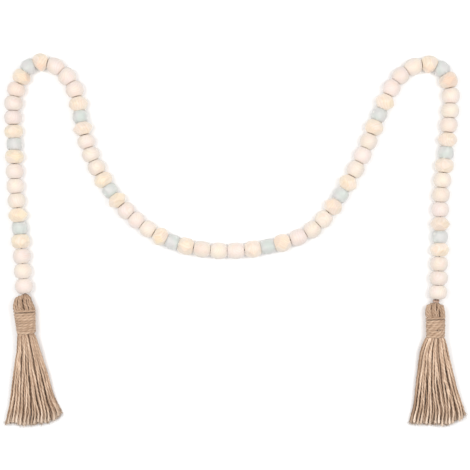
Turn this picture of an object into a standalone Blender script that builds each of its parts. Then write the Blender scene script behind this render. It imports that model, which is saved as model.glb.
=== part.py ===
# Wood bead garland laid out flat in a loose M: a string of round wood beads, faceted wood beads and
# frosted glass beads, with a jute tassel tied on at each end.
# Metres, +Z up. The garland lies on z = 0, and the middle of its outline is over the origin.

import math

import bmesh
import bpy
import numpy as np

MM = 0.001

# Beads, in their order from the left tassel to the right one: R round, F faceted, G glass
ORDER = "RRRFGF" * 12 + "RRR"
SHARE = {"R": 17.0 * MM, "F": 17.0 * MM, "G": 13.0 * MM}  # of the route's length
FIT_GAP = 0.3 * MM  # between two beads, and round whatever passes through another piece
SEAM = 0.5 * MM  # groove between the round beads of one run
BORE_RADIUS = 2.5 * MM
STRING_RADIUS = 0.9 * MM
SIDES = 12

# Half of a turned bead's outline, from its middle to its end, along the hole
ROUND_OUTLINE = (
    # along, radius
    (1.9 * MM, 10.15 * MM),
    (6.2 * MM, 8.25 * MM),
    (8.2 * MM, 4.9 * MM),
)
GLASS_OUTLINE = (
    # along, radius
    (2.2 * MM, 9.0 * MM),
    (4.8 * MM, 7.5 * MM),
    (6.5 * MM, 5.0 * MM),
)

# The faceted bead is a block with its eight corners cut off, so each of its six faces is a diamond
FACETED_HALF_WIDTH = 9.8 * MM
FACETED_HALF_LENGTH = 8.2 * MM
DIAMOND_REACH = 0.68  # from a face's middle to its points, as a share of the half width
FACETED_BORE_SIDES = 8
# How far each faceted bead is rolled about the string, in degrees, from the left: one at 0 lies on a
# whole diamond
FACETED_ROLLS = (8, 40, 22, 0, 20, 34, 60, 30, 10, 45, 22, 0, 0, 15, 60, 30, 8, 45, 26, 20, 38, 15, 60, 30)
LIFT = 0.2 * MM  # of a rolled bead's corner off the surface
GLASS_DROP = 1.8 * MM  # the most that a glass bead hangs below its two neighbours

# Where the string runs: the middle of each numbered bead
ROUTE = (
    # bead, x, y in millimetres
    (1, -241, -54),
    (5, -246, 12),
    (8, -251, 60),
    (11, -252, 108),
    (14, -253, 154),
    (15, -250.5, 170.5),
    (16, -243.5, 183.5),
    (17, -236, 196.5),
    (18, -222.5, 203.5),
    (19, -204.5, 197),
    (20, -191.5, 185),
    (21, -182.5, 170),
    (23, -177, 139),
    (26, -165, 96),
    (29, -143, 55),
    (32, -113, 21),
    (35, -72, -4),
    (38, -19, -14),
    (41, 37, -9),
    (44, 88, 10),
    (47, 120, 50),
    (50, 145, 95),
    (53, 164, 141),
    (56, 188, 186),
    (57, 202, 197),
    (58, 222, 200.5),
    (59, 235.5, 194),
    (60, 243.5, 180.5),
    (61, 246, 162.5),
    (62, 244.5, 146),
    (65, 240, 98),
    (68, 234, 50),
    (71, 233, 2),
    (75, 231, -61),
)

# A tassel's head, from its binding to its top
LEFT_HEAD_OUTLINE = (
    # share of the head's height, share of its half width
    (0.03, 0.78),
    (0.14, 0.97),
    (0.32, 1.0),
    (0.58, 0.82),
    (0.8, 0.52),
    (1.0, 0.27),
)
RIGHT_HEAD_OUTLINE = (
    (0.03, 0.78),
    (0.14, 0.97),
    (0.4, 1.0),
    (0.62, 0.93),
    (0.84, 0.76),
    (1.0, 0.42),
)

# Tassels, in millimetres: a hank folded over at the top, bound, and fanned out below. A pair of
# values is for the two ends of the binding, or for the fan's left and right
TASSELS = (
    dict(name="left", top=(-240.5, -63.2), wrap_y=(-81, -107.8), neck_x=(-240.6, -238.4),
         half_width=(13.1, 11.2), turns=9, tip_left=(-263, -209), tip_right=(-198, -200),
         spread_power=(1.6, 1.25), head_outline=LEFT_HEAD_OUTLINE),
    dict(name="right", top=(228.6, -73.0), wrap_y=(-89, -112.5), neck_x=(228.1, 228.1),
         half_width=(11.6, 11.0), turns=8, tip_left=(198, -209), tip_right=(263, -203),
         spread_power=(0.8, 1.0), head_outline=RIGHT_HEAD_OUTLINE),
)
HANK_HALF_HEIGHT = 9.9 * MM
HANK_CENTRE = 10.0 * MM  # height of the hank's middle
TWINE = 2.9 * MM
TURN_GROOVE = 0.9 * MM  # between two turns of the binding
COLUMNS = 11  # strands across a tassel
ROWS = 3
TIP_SAG = 5.5 * MM  # of the tips' line below the straight line between its corners
TIP_STAGGER = 1.2 * MM  # some strands are cut this much longer or shorter
STRAND_WIDTH = 3.5 * MM
STRAND_HEIGHT = 3.2 * MM
STRAND_FILL = 0.88  # of the room beside its neighbours, where that is narrower than a strand
ROOT_INSET = 0.2 * MM
STRAND_STEPS = (0.05, 0.2, 0.45, 0.72, 1.0)  # shares of a strand's length
STRAND_GROWTH = 1.8  # how soon a strand is at its full height
ROOT_SHRINK = 0.84  # of a strand's root, against its place in the hank
ROW_RISE = 3.75 * MM  # from one row of strands to the next, at the tips
ROW_NARROWING = 0.09  # of each row's width at the tips, against the row below it
ROW_SHIFTS = (0, 0.045, -0.02)  # shares of the tips' line, so that a row covers the gaps of another
STRAND_WAVE = 0.35 * MM  # sideways, in the middle of a strand
WAVE_PHASE = dict(column=0.8, row=1.7, share=5.0)  # radians, so that neighbours wave nearly together
STAGGER_PHASE = dict(column=2.4, row=1.3)
ROW_SETTLE = 3  # how soon the strands bend down to their row
SPLIT_DEPTH = 3.2 * MM  # of the groove where the folded hank's two halves part
SPLIT_SPREAD = 0.2  # share of the half width

KNOT = dict(centre=(228.6, -71.05), half_size=(3.6, 1.6, 3.0))  # millimetres


def clear_scene():
    for obj in list(bpy.data.objects):
        bpy.data.objects.remove(obj)


def make_material(name, colour, roughness, transmission=0.0):
    material = bpy.data.materials.new(name)
    material.use_nodes = True
    shader = material.node_tree.nodes["Principled BSDF"]
    shader.inputs["Base Color"].default_value = (*colour, 1)
    shader.inputs["Roughness"].default_value = roughness
    shader.inputs["Metallic"].default_value = 0
    shader.inputs["Transmission Weight"].default_value = transmission
    material.diffuse_color = (*colour, 1)
    return material


def add_object(name, data, material):
    obj = bpy.data.objects.new(name, data)
    bpy.context.scene.collection.objects.link(obj)
    if not data.materials:
        data.materials.append(material)
    return obj


def mesh_from(bm, name, sharp_degrees=35):
    bmesh.ops.recalc_face_normals(bm, faces=bm.faces)
    mesh = bpy.data.meshes.new(name)
    bm.to_mesh(mesh)
    bm.free()
    mesh.shade_smooth()
    mesh.set_sharp_from_angle(angle=math.radians(sharp_degrees))
    return mesh


def add_loop(bm, points):
    return [bm.verts.new(point) for point in points]


def join_loops(bm, loops, ring=False):
    # Quads from each loop of vertices to the next, and from the last to the first in a ring
    pairs = list(zip(loops, loops[1:]))
    if ring:
        pairs.append((loops[-1], loops[0]))
    for first, second in pairs:
        for k in range(len(first)):
            after = (k + 1) % len(first)
            bm.faces.new((first[k], first[after], second[after], second[k]))


# The route

def route_at(lengths):
    # A smooth curve through the route's beads, read at lengths along the string's beads
    starts = np.concatenate([[0], np.cumsum([SHARE[kind] for kind in ORDER])])
    middles = (starts[:-1] + starts[1:]) / 2
    knots = middles[[bead - 1 for bead, x, y in ROUTE]]
    points = np.array([(x, y) for bead, x, y in ROUTE]) * MM
    steps = np.diff(knots)[:, None]
    slopes = np.diff(points, axis=0) / steps
    tangents = np.empty_like(points)
    tangents[0] = slopes[0]
    tangents[-1] = slopes[-1]
    tangents[1:-1] = (slopes[:-1] * steps[1:] + slopes[1:] * steps[:-1]) / (steps[:-1] + steps[1:])
    k = np.clip(np.searchsorted(knots, lengths) - 1, 0, len(knots) - 2)
    step = steps[k]
    s = ((lengths - knots[k])[:, None]) / step
    inside = (
        (2 * s**3 - 3 * s**2 + 1) * points[k]
        + (s**3 - 2 * s**2 + s) * step * tangents[k]
        + (3 * s**2 - 2 * s**3) * points[k + 1]
        + (s**3 - s**2) * step * tangents[k + 1]
    )
    before = points[0] + tangents[0] * (lengths - knots[0])[:, None]
    beyond = points[-1] + tangents[-1] * (lengths - knots[-1])[:, None]
    outside = np.where(lengths[:, None] < knots[0], before, beyond)
    return np.where((s < 0) | (s > 1), outside, inside)


def bead_frames():
    # Each bead fills its share of the route, and is bent along it so that both of its ends face the
    # way the string runs there. turn is the angle between its ends, and half is half of its length
    joints = route_at(np.concatenate([[0], np.cumsum([SHARE[kind] for kind in ORDER])]))
    chords = np.diff(joints, axis=0)
    headings = np.unwrap(np.arctan2(chords[:, 1], chords[:, 0]))
    ways = np.concatenate([headings[:1], (headings[:-1] + headings[1:]) / 2, headings[-1:]])
    frames = []
    for i, kind in enumerate(ORDER):
        turn, middle = ways[i + 1] - ways[i], (ways[i + 1] + ways[i]) / 2
        along = np.array((math.cos(middle), math.sin(middle)))
        reach, lean = np.linalg.norm(chords[i]) / 2, headings[i] - middle
        slide = reach * math.tan(turn / 2) * math.sin(lean)
        half = reach * math.cos(lean) * math.cos(turn / 2) / np.sinc(turn / 2 / math.pi)
        gap = max(SEAM if pair == "RR" else FIT_GAP for pair in (ORDER[i - 1:i + 1], ORDER[i:i + 2]))
        frames.append(dict(kind=kind, centre=(joints[i] + joints[i + 1]) / 2 + slide * along, along=along,
                           across=np.array((-along[1], along[0])), turn=turn, half=half - gap / 2))
    return frames


def ring_points(along, radius):
    # One ring of a turned bead, with a flat between its two lowest points
    angles = np.radians(-90 + 180 / SIDES + np.arange(SIDES) * 360 / SIDES)
    return np.stack([radius * np.cos(angles), radius * np.sin(angles), np.full(SIDES, along)], axis=1)


def turned_rings(outline):
    halves = [(-along, radius) for along, radius in reversed(outline)] + list(outline)
    return [ring_points(along, radius) for along, radius in halves]


def roll_points(points, degrees):
    turn = math.radians(degrees)
    x = points[:, 0] * math.cos(turn) - points[:, 1] * math.sin(turn)
    y = points[:, 0] * math.sin(turn) + points[:, 1] * math.cos(turn)
    return np.stack([x, y, points[:, 2]], axis=1)


def to_world(points, frame):
    # From a bead's own axes (across, up, along) to the world. Its middle line is bent to an arc, and
    # it stays square to the arc
    along = points[:, 2:] * frame["stretch"]
    angle = along * frame["turn"] / 2 / frame["half"]
    arc = along * np.sinc(angle / math.pi) * frame["along"]
    arc = arc + along * np.sinc(angle / 2 / math.pi) * np.sin(angle / 2) * frame["across"]
    square = np.cos(angle) * frame["across"] - np.sin(angle) * frame["along"]
    flat = frame["centre"] + arc + points[:, :1] * square
    return np.column_stack([flat, points[:, 1] + frame["height"]])


def bent_copy(mesh, frame):
    copy = mesh.copy()
    points = np.array([vertex.co for vertex in mesh.vertices])
    for vertex, point in zip(copy.vertices, to_world(roll_points(points, frame["roll"]), frame)):
        vertex.co = point
    return copy


# The shared bead meshes

def faceted_corners():
    corners = []
    for first in (-1, 1):
        for second in (-DIAMOND_REACH, DIAMOND_REACH):
            corners += [(first, second, 0), (first, 0, second), (second, first, 0)]
            corners += [(0, first, second), (second, 0, first), (0, second, first)]
    size = (FACETED_HALF_WIDTH, FACETED_HALF_WIDTH, FACETED_HALF_LENGTH)
    return np.array(corners) * size


def faceted_mesh():
    bm = bmesh.new()
    add_loop(bm, faceted_corners())
    bmesh.ops.convex_hull(bm, input=bm.verts)
    bmesh.ops.dissolve_limit(bm, angle_limit=math.radians(1), verts=bm.verts, edges=bm.edges)
    solid = bpy.data.objects.new("faceted_solid", mesh_from(bm, "faceted_solid"))
    bm = bmesh.new()
    bmesh.ops.create_cone(bm, cap_ends=True, segments=FACETED_BORE_SIDES, radius1=BORE_RADIUS,
                          radius2=BORE_RADIUS, depth=4 * FACETED_HALF_LENGTH)
    drill = bpy.data.objects.new("faceted_drill", mesh_from(bm, "faceted_drill"))
    for obj in (solid, drill):
        bpy.context.scene.collection.objects.link(obj)
    cut = solid.modifiers.new("bore", "BOOLEAN")
    cut.operation = "DIFFERENCE"
    cut.solver = "EXACT"
    cut.object = drill
    graph = bpy.context.evaluated_depsgraph_get()
    mesh = bpy.data.meshes.new_from_object(solid.evaluated_get(graph))
    mesh.name = "faceted"
    for obj in (solid, drill):
        bpy.data.objects.remove(obj)
    mesh.shade_flat()
    return mesh


def turned_mesh(name, outline):
    bm = bmesh.new()
    loops = [add_loop(bm, ring) for ring in turned_rings(outline)]
    end = outline[-1][0]
    loops += [add_loop(bm, ring_points(along, BORE_RADIUS)) for along in (end, -end)]
    join_loops(bm, loops, ring=True)
    return mesh_from(bm, name)


# The strung beads

def place_beads():
    # Adds each bead's stretch, its roll and its height to its frame
    frames = bead_frames()
    round_points = np.concatenate(turned_rings(ROUND_OUTLINE))
    glass_points = np.concatenate(turned_rings(GLASS_OUTLINE))
    corners = faceted_corners()
    faceted_count = 0
    for frame in frames:
        frame["roll"] = 0
        points = {"R": round_points, "F": corners, "G": glass_points}[frame["kind"]]
        if frame["kind"] == "F":
            frame["roll"] = FACETED_ROLLS[faceted_count]
            faceted_count += 1
            points = roll_points(points, frame["roll"])
        frame["stretch"] = frame["half"] / points[:, 2].max()
        frame["height"] = -points[:, 1].min()
        if frame["roll"]:
            frame["height"] += LIFT
    for before, frame, after in zip(frames, frames[1:], frames[2:]):
        if frame["kind"] == "G":
            neighbours = (before["height"] + after["height"]) / 2
            frame["height"] = max(frame["height"], neighbours - GLASS_DROP)
    return frames


def add_round_run(name, frames, material):
    # Round beads turned side by side from one piece, with a narrow neck between each two
    bm = bmesh.new()
    loops = []
    for frame in frames:
        loops += [add_loop(bm, to_world(ring, frame)) for ring in turned_rings(ROUND_OUTLINE)]
    bore = []
    end = ROUND_OUTLINE[-1][0]
    for frame in frames:
        bore.append(to_world(ring_points(-end, BORE_RADIUS), frame))
        bore.append(to_world(ring_points(end, BORE_RADIUS), frame))
    halves = [bore[0]]
    halves += [(first + second) / 2 for first, second in zip(bore[1:-1:2], bore[2:-1:2])]
    halves.append(bore[-1])
    loops += [add_loop(bm, ring) for ring in reversed(halves)]
    join_loops(bm, loops, ring=True)
    return add_object(name, mesh_from(bm, name), material)


def add_beads(frames, materials):
    faceted, glass = faceted_mesh(), turned_mesh("glass", GLASS_OUTLINE)
    run = []
    counts = {"round": 0, "faceted": 0, "glass": 0}
    for frame in frames + [None]:
        if frame and frame["kind"] == "R":
            run.append(frame)
            continue
        if run:
            counts["round"] += 1
            add_round_run(f"round_run_{counts['round']:02d}", run, materials["pale_wood"])
            run = []
        if frame:
            kind, mesh, material = {
                "F": ("faceted", faceted, materials["cream_wood"]),
                "G": ("glass", glass, materials["sea_glass"]),
            }[frame["kind"]]
            counts[kind] += 1
            add_object(f"{kind}_{counts[kind]:02d}", bent_copy(mesh, frame), material)


def add_string(frames, material):
    # The string runs straight through each bore, from the middle of one joint to the next
    ends = []
    for frame in frames:
        end = frame["half"] / frame["stretch"]
        ends.append(to_world(np.array([(0, 0, -end), (0, 0, end)]), frame))
    points = [ends[0][0]] + [(first[1] + second[0]) / 2 for first, second in zip(ends, ends[1:])]
    points.append(ends[-1][1])
    data = bpy.data.curves.new("string", "CURVE")
    data.dimensions = "3D"
    data.bevel_depth = STRING_RADIUS
    data.bevel_resolution = 2
    data.use_fill_caps = True
    spline = data.splines.new("POLY")
    spline.points.add(len(points) - 1)
    for target, point in zip(spline.points, points):
        target.co = (*point, 1)
    return add_object("string", data, material)


# The tassels

def grid_on_oval(columns, rows):
    # A grid of squares pressed into a round outline of radius 1: [row][column] of (x, z)
    grid = []
    for z in np.linspace(-1, 1, rows + 1):
        line = []
        for x in np.linspace(-1, 1, columns + 1):
            line.append((x * math.sqrt(1 - z * z / 2), z * math.sqrt(1 - x * x / 2)))
        grid.append(line)
    return grid


def grid_rim(grid):
    # The grid's outline as one loop, anticlockwise from its lowest left corner
    rim = list(grid[0])
    rim += [line[-1] for line in grid[1:]]
    rim += list(reversed(grid[-1][:-1]))
    rim += [line[0] for line in reversed(grid[1:-1])]
    return rim


def split_hank(x, z):
    # How deep the groove between the two halves of the folded hank is at this point of its outline
    return SPLIT_DEPTH * math.exp(-((x / SPLIT_SPREAD) ** 2)) * abs(z)


def binding_at(spec, y):
    # The middle and the half width of a tassel's binding at this y
    top, end = (value * MM for value in spec["wrap_y"])
    share = (top - y) / (top - end)
    return [(first + (last - first) * share) * MM for first, last in (spec["neck_x"], spec["half_width"])]


def extrude_section(bm, face, corner_of, place):
    # Draws a face out to a new place: corner_of tells its corners apart by where they are
    face = bmesh.ops.extrude_discrete_faces(bm, faces=[face])["faces"][0]
    moved = {}
    for vertex in face.verts:
        corner = corner_of[vertex.co.to_tuple(7)]
        vertex.co = place(corner, vertex.co)
        moved[vertex.co.to_tuple(7)] = corner
    return face, moved


def add_strand(bm, face, root, tip, room, power, row, column):
    # One strand drawn out of a face of the hank's cut end, as a four-sided length that steps out to
    # its root under the binding, then bends down to its row and out to its tip. With a power over
    # 1, it spreads soonest near its tip. room is from one strand's middle to the next, at the
    # roots and at the tips
    middle = face.calc_center_median()
    corners = ((-1, -1), (1, -1), (1, 1), (-1, 1))
    corner_of = {vertex.co.to_tuple(7): corner for vertex, corner in zip(face.verts, corners)}
    root_half = max(abs(vertex.co.z - middle.z) for vertex in face.verts) - ROOT_INSET
    face, corner_of = extrude_section(
        bm, face, corner_of, lambda corner, at: middle + (at - middle) * ROOT_SHRINK
    )
    for share in STRAND_STEPS:
        spread = share**power
        settle = 1 - (1 - share) ** ROW_SETTLE
        grown = min(1, share * STRAND_GROWTH)
        phase = WAVE_PHASE["column"] * column + WAVE_PHASE["row"] * row + WAVE_PHASE["share"] * share
        wave = STRAND_WAVE * math.sin(phase) * 4 * share * (1 - share)
        half = (
            min(STRAND_WIDTH, (room[0] + (room[1] - room[0]) * spread) * STRAND_FILL) / 2,
            root_half + (STRAND_HEIGHT / 2 - root_half) * grown,
        )
        centre = (
            root[0] + (tip[0] - root[0]) * spread + wave,
            root[1] + (tip[1] - root[1]) * share,
            max(middle.z + (tip[2] - middle.z) * settle, half[1]),
        )
        face, corner_of = extrude_section(
            bm, face, corner_of,
            lambda corner, at: (centre[0] + corner[0] * half[0], centre[1], centre[2] + corner[1] * half[1]),
        )


def add_tassel(spec, material):
    # Lofted up from the hank's cut end, through its bound neck, to the folded top
    wrap_top, wrap_end = (y * MM for y in spec["wrap_y"])
    cut_y = wrap_end - FIT_GAP
    top_x, top_y = (value * MM for value in spec["top"])
    neck_x, half_width = binding_at(spec, wrap_top)
    cut_x, cut_half_width = binding_at(spec, cut_y)
    cut_half = (cut_half_width - TWINE - FIT_GAP, HANK_HALF_HEIGHT - TWINE - FIT_GAP)
    grid = grid_on_oval(COLUMNS, ROWS)
    rim = grid_rim(grid)
    bm = bmesh.new()

    def station(y, centre_x, half, split):
        points = []
        for x, z in rim:
            depth = split_hank(x, z) * split
            points.append((centre_x + x * half[0], y, HANK_CENTRE + z * half[1] - math.copysign(depth, z)))
        return add_loop(bm, points)

    neck_half = (half_width - TWINE - FIT_GAP, cut_half[1])
    loops = [station(cut_y, cut_x, cut_half, 0), station(wrap_top, neck_x, neck_half, 0)]
    for share, size in spec["head_outline"]:
        y = wrap_top + (top_y - wrap_top) * share
        centre_x = neck_x + (top_x - neck_x) * share
        loops.append(station(y, centre_x, (half_width * size, HANK_HALF_HEIGHT * size), size))
    join_loops(bm, loops)
    bm.faces.new(loops[-1])

    at = dict(zip(rim, loops[0]))
    for line in grid:
        for x, z in line:
            if (x, z) not in at:
                at[x, z] = bm.verts.new((cut_x + x * cut_half[0], cut_y, HANK_CENTRE + z * cut_half[1]))
    cells = []
    for row in range(ROWS):
        for column in range(COLUMNS):
            corners = [grid[row][column], grid[row][column + 1]]
            corners += [grid[row + 1][column + 1], grid[row + 1][column]]
            cells.append((row, column, bm.faces.new([at[corner] for corner in corners])))

    left = np.array(spec["tip_left"]) * MM
    right = np.array(spec["tip_right"]) * MM
    shoulder = (cut_half_width - STRAND_WIDTH / 4) / cut_half[0]
    for row, column, face in cells:
        step = (1 - ROW_NARROWING * row) / (COLUMNS - 1)
        share = 0.5 + (column - (COLUMNS - 1) / 2) * step + ROW_SHIFTS[row]
        x, y = left + (right - left) * share
        x += STRAND_WIDTH * (0.5 - share)
        phase = STAGGER_PHASE["column"] * column + STAGGER_PHASE["row"] * row
        y -= TIP_SAG * 4 * share * (1 - share) + TIP_STAGGER * math.sin(phase)
        tip = (x, y, STRAND_HEIGHT / 2 + row * ROW_RISE)
        root = (cut_x + (face.calc_center_median().x - cut_x) * shoulder, cut_y)
        cell = (grid[row][1][0] - grid[row][0][0] + grid[row + 1][1][0] - grid[row + 1][0][0]) / 2
        room = (cell * cut_half[0] * shoulder, (right[0] - left[0]) * step)
        power = spec["spread_power"][0] + (spec["spread_power"][1] - spec["spread_power"][0]) * share
        add_strand(bm, face, root, tip, room, power, row, column)
    name = spec["name"] + "_tassel"
    return add_object(name, mesh_from(bm, name), material)


def add_wrap(spec, material):
    # The binding round the hank's neck: a sleeve with one ridge for each turn of twine
    top, bottom = (y * MM for y in spec["wrap_y"])
    angles = np.radians(-90 + 180 / SIDES + np.arange(SIDES) * 360 / SIDES)
    flat = math.cos(math.pi / SIDES)
    bm = bmesh.new()

    def ring(y, half_height, inset):
        centre_x, half_width = binding_at(spec, y)
        across = (half_width - inset) / flat
        up = (half_height - inset) / flat
        return add_loop(bm, [
            (centre_x + across * math.cos(a), y, HANK_CENTRE + up * math.sin(a)) for a in angles
        ])

    loops = []
    for k in range(2 * spec["turns"] + 1):
        y = bottom + (top - bottom) * k / (2 * spec["turns"])
        loops.append(ring(y, HANK_CENTRE, TURN_GROOVE * (1 - k % 2)))
    loops += [ring(y, HANK_HALF_HEIGHT, TWINE) for y in (top, bottom)]
    join_loops(bm, loops, ring=True)
    name = spec["name"] + "_wrap"
    return add_object(name, mesh_from(bm, name), material)


def add_knot(material):
    # The string's knot, between the last bead and the right tassel's fold
    bm = bmesh.new()
    bmesh.ops.create_uvsphere(bm, u_segments=10, v_segments=6, radius=1)
    for vertex in bm.verts:
        vertex.co = [value * size * MM for value, size in zip(vertex.co, KNOT["half_size"])]
    obj = add_object("right_knot", mesh_from(bm, "right_knot", sharp_degrees=80), material)
    obj.location = (KNOT["centre"][0] * MM, KNOT["centre"][1] * MM, HANK_CENTRE)
    return obj


def build():
    clear_scene()
    materials = {
        "pale_wood": make_material("pale_wood", (0.87, 0.74, 0.65), 0.55),
        "cream_wood": make_material("cream_wood", (0.86, 0.70, 0.54), 0.5),
        "sea_glass": make_material("sea_glass", (0.72, 0.77, 0.74), 0.45, transmission=0.3),
        "jute": make_material("jute", (0.55, 0.38, 0.25), 0.9),
        "string": make_material("string", (0.42, 0.30, 0.20), 0.85),
    }
    frames = place_beads()
    add_beads(frames, materials)
    add_string(frames, materials["string"])
    for spec in TASSELS:
        add_tassel(spec, materials["jute"])
        add_wrap(spec, materials["jute"])
    add_knot(materials["string"])


build()
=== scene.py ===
# A wood bead garland laid out flat in a loose M: round and faceted wood beads and frosted glass beads
# on one string, with a jute tassel at each end, seen from straight above.
import math

import bpy
import numpy as np
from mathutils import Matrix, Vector


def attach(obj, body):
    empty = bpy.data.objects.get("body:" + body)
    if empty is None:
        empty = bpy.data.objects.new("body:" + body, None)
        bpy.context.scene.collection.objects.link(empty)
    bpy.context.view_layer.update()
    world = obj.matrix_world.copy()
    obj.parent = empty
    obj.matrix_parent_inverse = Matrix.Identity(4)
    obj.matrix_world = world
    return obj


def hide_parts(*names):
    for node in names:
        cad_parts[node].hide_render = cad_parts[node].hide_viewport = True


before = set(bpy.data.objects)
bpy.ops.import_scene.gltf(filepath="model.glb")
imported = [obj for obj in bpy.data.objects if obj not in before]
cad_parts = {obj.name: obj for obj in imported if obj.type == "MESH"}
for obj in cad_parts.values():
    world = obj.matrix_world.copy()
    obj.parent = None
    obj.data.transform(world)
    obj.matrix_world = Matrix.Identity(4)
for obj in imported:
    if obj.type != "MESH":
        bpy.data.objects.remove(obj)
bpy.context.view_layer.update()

mm = 0.001  # shapes are worked out in millimetres


# Meshes

def unit(vectors):
    # Vectors divided by their lengths
    return vectors / np.maximum(np.linalg.norm(vectors, axis=-1, keepdims=True), 1e-9)


def circle(count):
    # The angles of so many points round a circle
    return np.arange(count) * 2 * math.pi / count


def buildMesh(name, points, quads, tris, attributes):
    # One smooth mesh from arrays of points and corner numbers. If its volume comes out negative its
    # faces point inwards, so every one is turned round
    fans = np.concatenate([quads[:, [0, 1, 2]], quads[:, [0, 2, 3]], tris])
    a, b, c = (points[fans[:, k]] for k in range(3))
    if np.einsum("ij,ij->i", a, np.cross(b, c)).sum() < 0:
        quads, tris = quads[:, ::-1], tris[:, ::-1]
    mesh = bpy.data.meshes.new(name)
    mesh.from_pydata(points * mm, [], quads.tolist() + tris.tolist(), shade_flat=False)
    for label, values in attributes.items():
        data = mesh.attributes.new(label, "FLOAT_VECTOR", "POINT").data
        data.foreach_set("vector", values.astype(np.float32).ravel())
    return mesh


def ringMesh(name, grids, attributes):
    # Closed rings of shape (pieces, profile, around, 3): both the profile and the way around come
    # back to their start, so each piece is one skin with a hole through it
    count, profile, around = grids.shape[:3]
    number = np.arange(count * profile * around).reshape(count, profile, around)
    down, across = np.roll(number, -1, axis=1), np.roll(number, -1, axis=2)
    both = np.roll(down, -1, axis=2)
    quads = np.stack([number, across, both, down], axis=-1).reshape(-1, 4)
    return buildMesh(name, grids.reshape(-1, 3), quads, np.empty((0, 3), int),
                     {label: values.reshape(-1, 3) for label, values in attributes.items()})


def withMiddles(values):
    # Values at every point of a batch of tubes, then at the middles of their first and last rings
    return np.concatenate([values.reshape(-1, 3), values[:, 0].mean(axis=1), values[:, -1].mean(axis=1)])


def tubeMesh(name, *batches):
    # Batches of tubes of shape (tubes, steps, sides, 3), each with its attributes. A tube's ends are
    # closed by fans round their middles, and corner numbers go on from one batch to the next
    parts, moved = [], 0
    for tubes, attributes in batches:
        count, steps, sides = tubes.shape[:3]
        number = moved + np.arange(count * steps * sides).reshape(count, steps, sides)
        across = np.roll(number, -1, axis=2)
        quads = np.stack([number[:, :-1], across[:, :-1], across[:, 1:], number[:, 1:]], axis=-1)
        middles = moved + number.size + np.arange(2 * count).reshape(2, count, 1) + np.zeros(sides, int)
        first = np.stack([across[:, 0], number[:, 0], middles[0]], axis=-1)
        last = np.stack([number[:, -1], across[:, -1], middles[1]], axis=-1)
        tris = np.concatenate([first, last]).reshape(-1, 3)
        values = {label: withMiddles(value) for label, value in attributes.items()}
        parts.append((withMiddles(tubes), quads.reshape(-1, 4), tris, values))
        moved += len(parts[-1][0])
    points, quads, tris, values = zip(*parts)
    joined = {label: np.concatenate([value[label] for value in values]) for label in values[0]}
    return buildMesh(name, np.concatenate(points), np.concatenate(quads), np.concatenate(tris), joined)


def addObject(name, data):
    # A new object in the scene
    thing = bpy.data.objects.new(name, data)
    bpy.context.scene.collection.objects.link(thing)
    return thing


def addPiece(name, mesh, material, nodes):
    # A mesh becomes a piece of the garland's one body, in place of the solids that it details
    piece = addObject(name, mesh)
    mesh.materials.append(material)
    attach(piece, "root")
    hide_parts(*nodes)


# Shader nodes

def addNode(tree, kind, feeds=None, **settings):
    # feeds gives an input, by name or number, its value or the socket that drives it
    node = tree.nodes.new("ShaderNode" + kind)
    for key, value in settings.items():
        setattr(node, key, value)
    for key, value in (feeds or {}).items():
        if isinstance(value, bpy.types.NodeSocket):
            tree.links.new(value, node.inputs[key])
        else:
            node.inputs[key].default_value = value
    return node


def calc(tree, operation, a, b=0.0, clamp=False):
    # The Math node's result for one or two numbers or sockets
    return addNode(tree, "Math", {0: a, 1: b}, operation=operation, use_clamp=clamp).outputs[0]


def scaled(tree, vector, scale):
    # A vector times a scale for each of its axes
    return addNode(tree, "VectorMath", {0: vector, 1: scale}, operation="MULTIPLY").outputs[0]


def noise(tree, vector, scale=1.0, detail=2.0, roughness=0.5):
    # Smooth noise between 0 and 1, finer with a higher scale
    feeds = {"Vector": vector, "Scale": scale, "Detail": detail, "Roughness": roughness}
    return addNode(tree, "TexNoise", feeds).outputs["Fac"]


def smooth(tree, value, low, high):
    # 0 below low, 1 above high, and a soft step between
    feeds = {"Value": value, "From Min": low, "From Max": high}
    return addNode(tree, "MapRange", feeds, interpolation_type="SMOOTHSTEP").outputs["Result"]


def mixColour(tree, share, a, b, blend="MIX"):
    # From the first colour at a share of 0 to what the blend makes of both at a share of 1
    a, b = ((*value, 1) if isinstance(value, tuple) else value for value in (a, b))
    return addNode(tree, "Mix", {0: share, 6: a, 7: b}, data_type="RGBA", blend_type=blend).outputs[2]


def newGroup(name, inputs, outputs):
    # A shader group with its inputs (label, kind, value), and with outputs that are all numbers
    group = bpy.data.node_groups.new(name, "ShaderNodeTree")
    for label, kind, value in inputs:
        socket = group.interface.new_socket(label, in_out="INPUT", socket_type="NodeSocket" + kind)
        if kind == "Float":
            socket.default_value = value
    for label in outputs:
        group.interface.new_socket(label, in_out="OUTPUT", socket_type="NodeSocketFloat")
    return group, group.nodes.new("NodeGroupInput").outputs, group.nodes.new("NodeGroupOutput").inputs


def addStreaks(group, vector, result, rows):
    # One output for each row of label, scale, detail, roughness, low and high: noise drawn out along
    # z by its scale, then a soft step from low to high
    for label, scale, detail, roughness, low, high in rows:
        streaks = noise(group, scaled(group, vector, scale), 1.0, detail, roughness)
        group.links.new(smooth(group, streaks, low, high), result[label])


woodGrain = {
    "swayScale": 0.09, "sway": 9.0,  # how finely and how far growth rings stray from circles
    "rise": (0.25, 0.9), "fall": (1.0, 0.92),  # shares of a ring: it darkens slowly and ends sharply
}


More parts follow.
